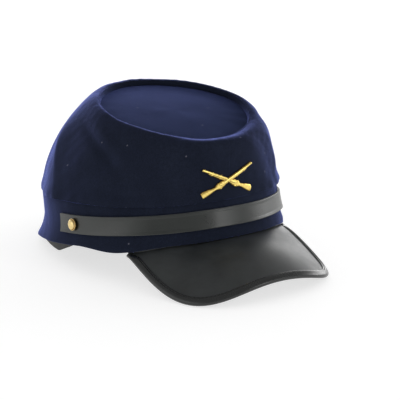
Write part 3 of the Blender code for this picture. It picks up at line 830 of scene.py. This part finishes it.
def brass_material(name, colour, rough):
    """Stamped yellow brass with fine scratches, and painted shade that darkens it where the depth
    attribute is high.
    """
    material, tree, shader = start_material(name)
    place = add_node(tree, "TexCoord", {}, "Object")
    cloud = noise(place, 260, 3, 0.6)
    grain = noise(place, 1900, 3, 0.6)
    stretched = add_node(tree, "Mapping", {"Vector": place, "Scale": (1.0, 1.0, 14.0)})
    scratch = noise(stretched, 420, 2, 0.6)
    # The depth attribute carries painted shade: the colour turns darker and browner where it is high
    deep = add_node(tree, "Attribute", {}, "Fac", attribute_name="depth")
    bright = blend(reach(cloud, 0.3, 0.7), tone(colour, 0.92), tone(colour, 1.04))
    shade_tone = [part * share for part, share in zip(colour, SHADE_SHARES)]
    feed(shader, {
        "Base Color": blend(deep, bright, (*shade_tone, 1.0)),
        "Roughness": add_up(reach(scratch, 0.35, 0.7, -0.04, 0.08), rough),
        "Normal": bumps((grain, 0.02, 0.5), (scratch, 0.02, 0.4)),
        "Metallic": 1.0,
    })
    return material


def thread_material(name, colour):
    """Waxed sewing thread: twisted plies that run along each stitch."""
    material, tree, shader = start_material(name)
    wave = {"Vector": add_node(tree, "TexCoord", {}, "UV"), "Scale": 900, "Distortion": 0.5}
    twist = add_node(tree, "TexWave", wave, "Fac", bands_direction="DIAGONAL")
    feed(shader, {
        "Base Color": blend(twist, tone(colour, 0.6), tone(colour, 1.2)),
        "Normal": bumps((twist, 0.05, 0.7)),
        "Roughness": 0.55,
    })
    return material


navy = cloth_material("navy_wool", (0.0118, 0.0152, 0.0252), 1.0)
# The sunk top's cloth is a lighter, bluer copy of the navy: painted light, for the top that faces the
# light from above
painted_lit_navy_top = cloth_material("navy_wool_top_painted_light", (0.0135, 0.0210, 0.0490), 0.60)
black = leather_material("black_leather", (0.0250, 0.0280, 0.0285), 0.42, specular=0.42)
roll_black = leather_material("rolled_leather", (0.0085, 0.0096, 0.0096), 0.24)
strap_black = leather_material("strap_leather", (0.0085, 0.0118, 0.0100), 0.32, 0.9, 0.02, 0.60)
# The strap's cut edges: a pale colour, partly the edge's own and partly a painted highlight where the
# edges catch light
cut_edge_and_highlight = leather_material("cut_edge_and_highlight", (0.085, 0.090, 0.088), 0.55, 0.5, 0.06)
lining = leather_material("sweatband_leather", (0.0060, 0.0062, 0.0060), 0.55, 0.8)
badge_brass = brass_material("badge_brass", (1.0, 0.77, 0.23), 0.25)
button_brass = brass_material("button_brass", (0.78, 0.60, 0.28), 0.28)
black_thread = thread_material("black_thread", (0.020, 0.020, 0.020))


# Crown and sunk top


def build_crown():
    """The side wall with its seams, folds and rolled lip."""
    angle = fine_angles()
    column = angle[:, None]
    top = band_top(angle)
    rises = stretches((0.0, 0.03, 10), (0.03, 0.12, 7), (0.12, 0.93, 47), (0.93, 0.975, 4))
    inset = CROWN_INSET + FOOT_DEPTH
    corners = [
        (band_point(angle, top - SEAM_TAIL, inset), 0.3),
        (band_point(angle, top + GAP, inset), 0.2),
    ]
    relief = crown_relief(column, rises)[..., None] * crown_normal(column, rises)
    corners += edged(crown_point(column, rises) + relief, 0.15)
    waver = ripple(LIP_WAVE, angle, 0.0)
    corners += [
        (opening_point(angle, -0.10 * MM, waver - 0.75 * MM), 0.5),
        (opening_point(angle, 0.75 * LIP_TURN, 1.3 * MM), 0),
        (opening_point(angle, 0.95 * LIP_TURN, 2.6 * MM), 0),
        (opening_point(angle, LIP_TURN, RECESS_DEPTH), 0.5),
        (opening_point(angle, LIP_TURN - CROWN_WALL, RECESS_DEPTH), 0.5),
    ]
    inner = np.linspace(0.97, 0.0, 26)
    inside = crown_point(column, inner) - CROWN_WALL * crown_normal(column, inner)
    inside[:, -1] = band_point(angle, top - SEAM_TAIL, CROWN_INSET + CROWN_WALL)
    add_ring("crown_cloth", corners + edged(inside, 0, 0.3), navy, "crown")


def build_top():
    """The sunk oval: slightly puffed cloth, pulled in at the seam round its edge."""
    angle = fine_angles()
    tuck = 0.7 * (LIP_TURN - CROWN_WALL)
    drop = RECESS_DEPTH + GAP
    shares = stretches((0.02, 0.9, 29), (0.9, 1.0, 7))
    rows = []
    for share in shares:
        puff = (TOP_PUFF + TOP_EXTRA_PUFF) * (1 - share**2)
        pull = ripple(TOP_PULL, angle, share) * share**6
        sag = ripple(TOP_SAG, angle, 3 * share) * min(1, 3 * share) * (1 - share**8)
        rows.append(opening_point(angle, tuck, drop - puff + pull * 0.6 + sag, share))
    for share in shares[::-4]:
        puff = TOP_PUFF * (1 - share**2)
        rows.append(opening_point(angle, tuck, drop + DISC_WALL - puff, share))
    rows.append(opening_point(angle, tuck, drop + DISC_WALL - TOP_PUFF, 0.02))
    mesh = grid_mesh("top_cloth", np.stack(rows, axis=0))
    # The top takes the lighter copy of the navy, with the light from above painted into its colour
    add_piece("top_cloth", mesh, [painted_lit_navy_top], "top_disc")


# Band and sweatband


def build_band():
    """The cloth band, folded at its rim and at the edge that the crown meets."""
    column = fine_angles()[:, None]
    low = rim_height(column)
    tall = band_top(column) - low
    height = low + tall * np.linspace(0, 1, 36)
    outside = band_point(column, height)
    relief = ripple(BAND_WAVE, column, height / (20 * MM)) + seam_relief(column, outside, BAND_SEAM)
    relief = relief + ripple(BAND_FINE_WAVE, column, height / (8 * MM))
    outside = outside + relief[..., None] * band_normal(column, height)
    inside = band_point(column, low + tall * np.linspace(1, 0, 18), BAND_WALL)
    rim = 1.0 - 0.7 * np.clip((np.sin(column[:, 0]) - 0.72) / 0.14, 0, 1)
    corners = edged(outside, rim, 0.05) + edged(inside, 0.3, rim)
    add_ring("band_cloth", corners, navy, "band", sharp=50)


def build_sweatband():
    """The black band inside the rim, with the droop that shows below the cloth."""
    column = fine_angles()[:, None]
    turn = column - DROOP_AT
    turn = turn / np.where(turn < 0, DROOP_TO_FRONT, DROOP_TO_BACK)
    droop = DROOP_DEPTH * np.clip(1.03 - np.sqrt(turn**2 + 0.0012), 0, 1)
    low = rim_height(column) + SWEATBAND_LIFT - droop
    height = low + (SWEATBAND_HEIGHT - low) * np.linspace(0, 1, 22)
    outer = BAND_WALL + SWEATBAND_GAP
    wave = ripple(SWEATBAND_WAVE, column, height / (12 * MM))[..., None]
    inside = band_point(column, height, outer + SWEATBAND_WALL) + wave * band_normal(column, height)
    corners = edged(band_point(column, height, outer), 0.5, 0.5) + edged(inside[:, ::-1], 0.5, 0.5)
    add_ring("sweatband_leather", corners, lining, "sweatband", steps=5)


# Peak, binding and its stitches


def build_peak():
    """The sheet of the peak, from its seam to inside the binding's slot."""
    share = np.linspace(0, 1, 181)
    depth = np.sum((peak_seam(share) - peak_edge(share)) * peak_inward(share), axis=-1)
    last = 1 - (BINDING_WALL + 2 * BINDING_SLOT_GAP) / depth
    out = last[:, None] * np.linspace(0, 1, 56)
    wide = np.broadcast_to(share[:, None], out.shape)
    normal = peak_normal(wide, out)
    wave = ripple(PEAK_WAVE, 2 * math.pi * wide, out)
    wave = wave * np.sin(math.pi * wide) * np.sin(math.pi * out)
    middle = peak_point(wide, out) + wave[..., None] * normal
    half = PEAK_WALL / 2 * normal
    angle = np.linspace(PEAK_CORNER, math.pi - PEAK_CORNER, 2000)
    laps = []
    for inset, height in ((PEAK_WALL / 2, LAP_TOP), (0.0, LAP_TOP), (0.0, LAP_LOW)):
        path = band_point(angle, rim_height(angle) + height, LAP_INSET + inset)
        laps.append(spread_evenly(path, share)[:, None])
    grid = np.concatenate([*laps, (middle + half)[:, 1:], (middle - half)[:, ::-1]], axis=1)
    mesh = grid_mesh("peak_sheet", grid, share * PEAK_ROUND)
    add_piece("peak_sheet", mesh, [black], "peak", sharp=50)


def binding_section(high):
    """(Inward, height) pairs of the rolled edge, from its mouth over the nose."""
    width = BINDING_WIDTH
    slot = PEAK_WALL / 2 + BINDING_SLOT_GAP
    lip = PEAK_WALL / 2 + LIP_CLEARANCE
    rise = high - lip
    upper = [(BINDING_WALL, slot), (0.6 * width, slot)]
    upper += [(width - 0.9 * MM, lip), (width - 0.2 * MM, lip)]
    upper += [(width, lip + 0.25 * rise), (width - 0.25 * MM, lip + 0.42 * rise)]
    upper += [(0.90 * width, lip + 0.52 * rise), (0.86 * width, lip + 0.50 * rise)]
    upper += [(0.82 * width, lip + GROOVE_SHARE * rise), (0.79 * width, lip + 0.46 * rise)]
    upper += [(0.76 * width, high - 0.42 * MM), (0.73 * width, high - 0.12 * MM)]
    for turn in np.linspace(0, math.pi / 2, 13)[:-1]:
        inward = 0.72 * width * (1 - math.sin(turn) ** 1.15)
        upper.append((inward, high * math.cos(turn) ** 0.75))
    return upper


def build_binding():
    """The rolled edge with the stitched groove along its inner side."""
    share = np.linspace(0, 1, 321)
    edge = peak_edge(share)
    normal = peak_normal(share, np.ones_like(share))
    inward = peak_inward(share)
    upper = binding_section(binding_half_height(share)[:, None])
    rows = [edge + a * inward + h * normal for a, h in upper]
    rows.append(edge)
    rows += [edge + a * inward - h * normal for a, h in upper[::-1]]
    mesh = grid_mesh("peak_rolled_edge", np.stack(rows, axis=1), share * BINDING_ROUND)
    add_piece("peak_rolled_edge", mesh, [roll_black], "peak_binding", sharp=70)


def stitch_row(path, up):
    """Capsule-like stitches along a path, as one mesh."""
    steps = np.linalg.norm(np.diff(path, axis=0), axis=1)
    along = np.concatenate([[0.0], np.cumsum(steps)])

    def at(place, rows):
        return np.array([np.interp(place, along, axis) for axis in rows.T])

    count = int(along[-1] // (STITCH_LENGTH + STITCH_GAP))
    pitch = along[-1] / count
    turn = np.arange(STITCH_SIDES)[:, None] * 2 * math.pi / STITCH_SIDES
    mirrored = [(1 - place, wide, lift) for place, wide, lift in STITCH_PROFILE[-2::-1]]
    profile = [*STITCH_PROFILE, *mirrored]
    rings = []
    for start in np.arange(count) * pitch + STITCH_GAP / 2:
        for place, wide, lift in profile:
            here = start + place * (pitch - STITCH_GAP)
            centre = at(here, path)
            ahead = unit(at(here + 1e-4, path) - centre)
            side = unit(np.cross(ahead, at(here, up)))
            over = np.cross(side, ahead)
            ring = wide * (np.cos(turn) * side + np.sin(turn) * over) + lift * over
            rings.append(centre + STITCH_RADIUS * ring)
    _, _, capsule = grid_faces(len(profile), STITCH_SIDES, ring=False)
    faces = []
    for k in range(count):
        base = k * len(profile) * STITCH_SIDES
        faces += [[base + corner for corner in face] for face in capsule]
    return new_mesh("stitches", np.concatenate(rings), faces)


def build_binding_stitches():
    """The two rows of stitches, above and below, that hold the rolled edge."""
    share = np.linspace(0.02, 0.98, 600)
    normal = peak_normal(share, np.ones_like(share))
    lip = PEAK_WALL / 2 + LIP_CLEARANCE
    groove = lip + GROOVE_SHARE * (binding_half_height(share) - lip) + STITCH_SEAT
    middle = peak_edge(share) + STITCH_PLACE * BINDING_WIDTH * peak_inward(share)
    for name, side in (("upper", 1), ("lower", -1)):
        mesh = stitch_row(middle + (side * groove)[:, None] * normal, side * normal)
        add_piece(f"peak_stitches_{name}", mesh, [black_thread])


# Strap and buttons


def build_strap():
    """The flat strap, with its cut edges and square ends; the pale colour of the edges is partly their own
    and partly a painted highlight.
    """
    angle = np.linspace(STRAP_END, math.pi - STRAP_END, 361)
    low = STRAP_HEIGHT
    high = STRAP_HEIGHT + STRAP_WIDTH
    face = GAP + STRAP_WALL
    edge = [(depth * MM, face - sunk * MM) for depth, sunk in STRAP_EDGE]
    loop = [(low, GAP), (low + 0.5 * STRAP_WIDTH, GAP), (high, GAP)]
    loop += [(high - depth, out) for depth, out in edge]
    for share in np.linspace(0.86, 0.14, 13):
        crown = STRAP_CROWN * 4 * share * (1 - share)
        loop.append((low + share * STRAP_WIDTH, face - STRAP_CROWN + crown))
    loop += [(low + depth, out) for depth, out in edge[::-1]]
    drift = ripple(STRAP_DRIFT, angle, 0.0)
    lean = STRAP_LEAN * np.clip((np.sin(angle) - 0.15) / 0.5, 0, 1)
    rows = []
    for height, out in loop:
        away = lean * (high - height) / STRAP_WIDTH
        rows.append(strap_point(angle, height + drift, out + away))
    mesh = grid_mesh("strap_leather", np.stack(rows, axis=1), angle * HEAD_HALF_WIDTH)
    # Edge rows and the ends take the pale edge colour, partly a painted highlight
    pale = [2, 3, 4, len(loop) - 3, len(loop) - 2, len(loop) - 1]
    for index, polygon in enumerate(mesh.polygons):
        polygon.material_index = int(polygon.loop_total > 4 or index % len(loop) in pale)
    add_piece("strap_leather", mesh, [strap_black, cut_edge_and_highlight], "chin_strap", sharp=40)


def button_place(side):
    """Where a button's back lies on the strap, and the way that it faces."""
    angle = STRAP_END - BUTTON_BACKSET / HEAD_HALF_WIDTH
    if side == "left":
        angle = math.pi - angle
    middle = STRAP_HEIGHT + STRAP_WIDTH / 2
    face = GAP + STRAP_WALL
    turn = np.arange(16) * math.pi / 8
    beside = angle + BUTTON_RADIUS / HEAD_HALF_WIDTH * np.cos(turn)
    foot = strap_point(beside, middle + BUTTON_RADIUS * np.sin(turn), np.full(16, face))
    normal = unit(np.cross(foot[4] - foot[12], foot[0] - foot[8]))
    centre = strap_point(np.array(angle), np.array(middle), np.array(face))
    lift = ((foot - centre) @ normal).max() + GAP
    return centre + lift * normal, normal


def paint_shade(mesh, shade):
    """Stores, as the depth attribute, how much painted shade each point gets: the brass is painted darker
    there.
    """
    depth = mesh.attributes.new("depth", "FLOAT", "POINT")
    depth.data.foreach_set("value", np.clip(shade, 0, 1).astype(np.float32))


def build_button(side):
    """A domed stud in a rolled ring."""
    turn = np.arange(STUD_SIDES) * 2 * math.pi / STUD_SIDES
    rows = []
    for radius, height in STUD_PROFILE:
        wide = STUD_WIDTH_SHARE * radius * BUTTON_RADIUS
        tall = height * STUD_HEIGHT_SHARE * BUTTON_HEIGHT
        rows.append(points(wide * np.cos(turn), wide * np.sin(turn), tall))
    mesh = grid_mesh("button", np.stack(rows, axis=0), np.arange(len(rows)) * MM)
    radii = np.repeat([row[0] for row in STUD_PROFILE], STUD_SIDES)
    # Painted shade in the groove of the rolled ring and over the ring's outer edge
    paint_shade(mesh, bell((radii - 0.85) / 0.035) + 0.75 * (radii > 0.975))
    centre, normal = button_place(side)
    turned = Vector(normal).to_track_quat("Z", "Y").to_matrix().to_4x4()
    mesh.transform(Matrix.Translation(Vector(centre)) @ turned)
    add_piece(f"stud_{side}", mesh, [button_brass], f"strap_button_{side}")


# Badge of crossed rifles


def lay_on_crown(flat):
    """Moves flat points (across, up, depth) onto the front of the crown."""
    across = BADGE_SIDE + flat[:, 0]
    up = BADGE_HEIGHT + flat[:, 1]
    angle = np.full(len(flat), math.pi / 2)
    rise = np.full(len(flat), 0.25)
    step = 1e-4
    for _ in range(8):
        here = crown_point(angle, rise)
        by_angle = (crown_point(angle + step, rise) - here) / step
        by_rise = (crown_point(angle, rise + step) - here) / step
        miss_x = across - here[:, 0]
        miss_z = up - here[:, 2]
        scale = by_angle[:, 0] * by_rise[:, 2] - by_rise[:, 0] * by_angle[:, 2]
        angle = angle + (miss_x * by_rise[:, 2] - miss_z * by_rise[:, 0]) / scale
        rise = rise + (miss_z * by_angle[:, 0] - miss_x * by_angle[:, 2]) / scale
    lift = (GAP + flat[:, 2])[:, None]
    return crown_point(angle, rise) + lift * crown_normal(angle, rise)


def rifle_bar(step, along, centre, above, below, raised, fullness=2.4):
    """A rounded bar of a rifle, its sizes in shares of the length: a grid of (along, up, depth)."""
    along, centre, above, below = [part * BADGE_LENGTH for part in (along, centre, above, below)]
    low = 0.6 * step
    high = step + BADGE_RELIEF * raised
    rows = []
    for turn in np.linspace(0, math.pi, 13):
        side = math.cos(turn)
        up = np.where(side > 0, above, below) * power(side, 2 / fullness)
        deep = low + (high - low) * abs(math.sin(turn)) ** (2 / fullness)
        rows.append(points(along, centre + up, deep))
    rows.append(points(along, centre - below, 0.0))
    rows.append(points(along, centre + above, 0.0))
    return np.stack(rows, axis=1)


def ends_fade(along, start, start_fade, end, end_fade, least):
    """A share of the height that falls off near both ends of a bar."""
    share = np.minimum((along - start) / start_fade, (end - along) / end_fade)
    return np.clip(share, least, 1) ** 0.5


def rifle_bars(step):
    """Grids of one rifle along its own axis, in metres: stock, barrel, bands, lock, butt."""
    along = stretches((0, 0.03, 3), (0.03, 0.85, 63), (0.85, 0.88, 3))
    shape = [read_table(STOCK, column, along) for column in ("drop", "above", "below")]
    bars = [rifle_bar(step, along, *shape, 0.82 * ends_fade(along, 0.0, 0.012, 0.892, 0.02, 0.35))]
    along = stretches((BARREL_START, 0.36, 3), (0.36, 0.985, 39), (0.985, 1.0, 3))
    share = (along - BARREL_START) / (1 - BARREL_START)
    end = ends_fade(along, 0.34, 0.012, 1.004, 0.008, 0.3)
    radius = (BARREL_BREECH + (BARREL_MUZZLE - BARREL_BREECH) * share) * end
    bars.append(rifle_bar(step, along, BARREL_ABOVE, radius, radius, 0.72 + 0.28 * end, 2.0))
    for middle in BARREL_BANDS:
        along = middle + np.array([-0.009, -0.0085, -0.006, 0.0, 0.006, 0.0085, 0.009])
        swell = np.array([0.0, 0.7, 1.0, 1.0, 1.0, 0.7, 0.0])
        drop, above, below = [read_table(STOCK, name, along) for name in ("drop", "above", "below")]
        above = np.maximum(above, BARREL_ABOVE + BARREL_BREECH - drop) + 0.002 * swell
        below = below + 0.003 * swell
        bars.append(rifle_bar(step, along, drop, above, below, 0.9 + 0.14 * swell, 2.6))
    turn = np.linspace(0.04 * math.pi, 0.96 * math.pi, 12)
    for knob in LOCK:
        along = knob.centre - knob.half_length * np.cos(turn)
        tall = knob.tall * np.sin(turn)
        bars.append(rifle_bar(step, along, knob.up, tall, tall, knob.raised + 0.25 * np.sin(turn), 2.2))
    along = np.array([0.0, 0.002, 0.010, 0.016, 0.017])
    swell = np.array([0.3, 1.0, 1.0, 0.9, 0.0])
    above = BUTT_ABOVE + 0.003 * swell
    below = BUTT_BELOW + 0.003 * swell
    bars.append(rifle_bar(step, along, 0.0, above, below, 0.80 + 0.12 * swell))
    return bars


def build_badge():
    """Two crossed rifles, one over the other, bent to the crown."""
    slope = math.atan2(BADGE_HALF_HEIGHT, BADGE_HALF_WIDTH)
    joined = bmesh.new()
    level = []
    for step, mirror in ((0.0, -1), (BADGE_STEP, 1)):
        for grid in rifle_bars(step):
            ahead = grid[..., 0] - BADGE_LENGTH / 2
            x = ahead * math.cos(slope) - grid[..., 1] * math.sin(slope)
            z = ahead * math.sin(slope) + grid[..., 1] * math.cos(slope)
            flat = points(mirror * x, z, np.maximum(grid[..., 2], 0)).reshape(-1, 3)
            placed = lay_on_crown(flat).reshape(grid.shape)
            mesh = grid_mesh("rifle", placed, grid[:, 0, 0])
            level += np.clip((grid[..., 2] - step) / BADGE_RELIEF, 0, 1).ravel().tolist()
            joined.from_mesh(mesh)
            bpy.data.meshes.remove(mesh)
    mesh = bpy.data.meshes.new("badge_rifles")
    joined.to_mesh(mesh)
    joined.free()
    # Painted shade: darker where each bar's relief lies low, along the rifles' edges
    paint_shade(mesh, np.clip(1 - np.array(level) / 0.85, 0, 1) ** 0.6)
    add_piece("badge_rifles", mesh, [badge_brass], "badge", sharp=60)


build_crown()
build_top()
build_band()
build_sweatband()
build_peak()
build_binding()
build_binding_stitches()
build_strap()
build_button("right")
build_button("left")
build_badge()


# Floor, light and camera


def add_floor():
    """A wide plain pale floor."""
    mesh = bpy.data.meshes.new("floor")
    corners = [(x * FLOOR_HALF, y * FLOOR_HALF, 0) for x, y in ((-1, -1), (1, -1), (1, 1), (-1, 1))]
    mesh.from_pydata(corners, [], [(0, 1, 2, 3)])
    material, _, shader = start_material("pale_floor")
    feed(shader, {
        "Base Color": (0.48, 0.48, 0.48, 1.0),
        "Roughness": 0.9,
        "Specular IOR Level": 0.1,
        "Emission Color": (1.0, 1.0, 1.0, 1.0),
        "Emission Strength": 0.68,
    })
    mesh.materials.append(material)
    floor = add_object("floor", mesh)


def add_lamp():
    """A soft rectangular light that faces its target."""
    light = bpy.data.lights.new("right", "AREA")
    light.shape = "RECTANGLE"
    light.size, light.size_y = LAMP_SIZE
    light.energy = LAMP_WATTS
    lamp = add_object("right", light)
    lamp.location = LAMP_PLACE
    aim = Vector(LAMP_TARGET) - Vector(LAMP_PLACE)
    lamp.rotation_euler = aim.to_track_quat("-Z", "Y").to_euler()


def add_world():
    """Soft studio surroundings: bright low walls behind and beside the cap, dimmer above."""
    world = bpy.data.worlds.new("studio")
    world.use_nodes = True
    tree = world.node_tree
    ahead = add_node(tree, "TexCoord", {}, "Generated")
    height = add_node(tree, "SeparateXYZ", {0: ahead}, "Z")
    level = add_node(tree, "VectorMath", {0: ahead, 1: (1.0, 1.0, 0.0)}, operation="MULTIPLY")
    level = add_node(tree, "VectorMath", {0: level}, operation="NORMALIZE")
    total = None
    for wall in WALLS:
        turn = math.radians(wall.azimuth)
        aim = {0: level if wall.upright else ahead, 1: (math.sin(turn), math.cos(turn), 0.0)}
        facing = add_node(tree, "VectorMath", aim, "Value", operation="DOT_PRODUCT")
        edge = math.cos(math.radians(wall.half_width))
        share = soft_step(facing, edge, edge + wall.softness)
        low = soft_step(height, wall.top, wall.top - wall.fade)
        glow = add_up(add_up(share, low, "MULTIPLY"), wall.strength, "MULTIPLY")
        total = glow if total is None else add_up(total, glow, "MAXIMUM")
    strength = add_up(total, CEILING)
    feed(tree.nodes["Background"], {"Color": (1.0, 1.0, 1.0, 1.0), "Strength": strength})
    bpy.context.scene.world = world


def soft_step(value, low, high):
    """A smooth step from 0 to 1 between two values."""
    return reach(value, low, high, interpolation_type="SMOOTHSTEP")


def add_camera():
    """The photograph's view."""
    lens = bpy.data.cameras.new("photo_view")
    lens.lens = CAMERA_LENS
    lens.sensor_width = 36
    lens.clip_start = 0.01
    camera = add_object("photo_view", lens)
    camera.location = CAMERA_PLACE
    camera.rotation_euler = CAMERA_TURN
    bpy.context.scene.camera = camera


add_floor()
add_world()
add_lamp()
add_camera()
bpy.context.scene.view_settings.view_transform = "Standard"
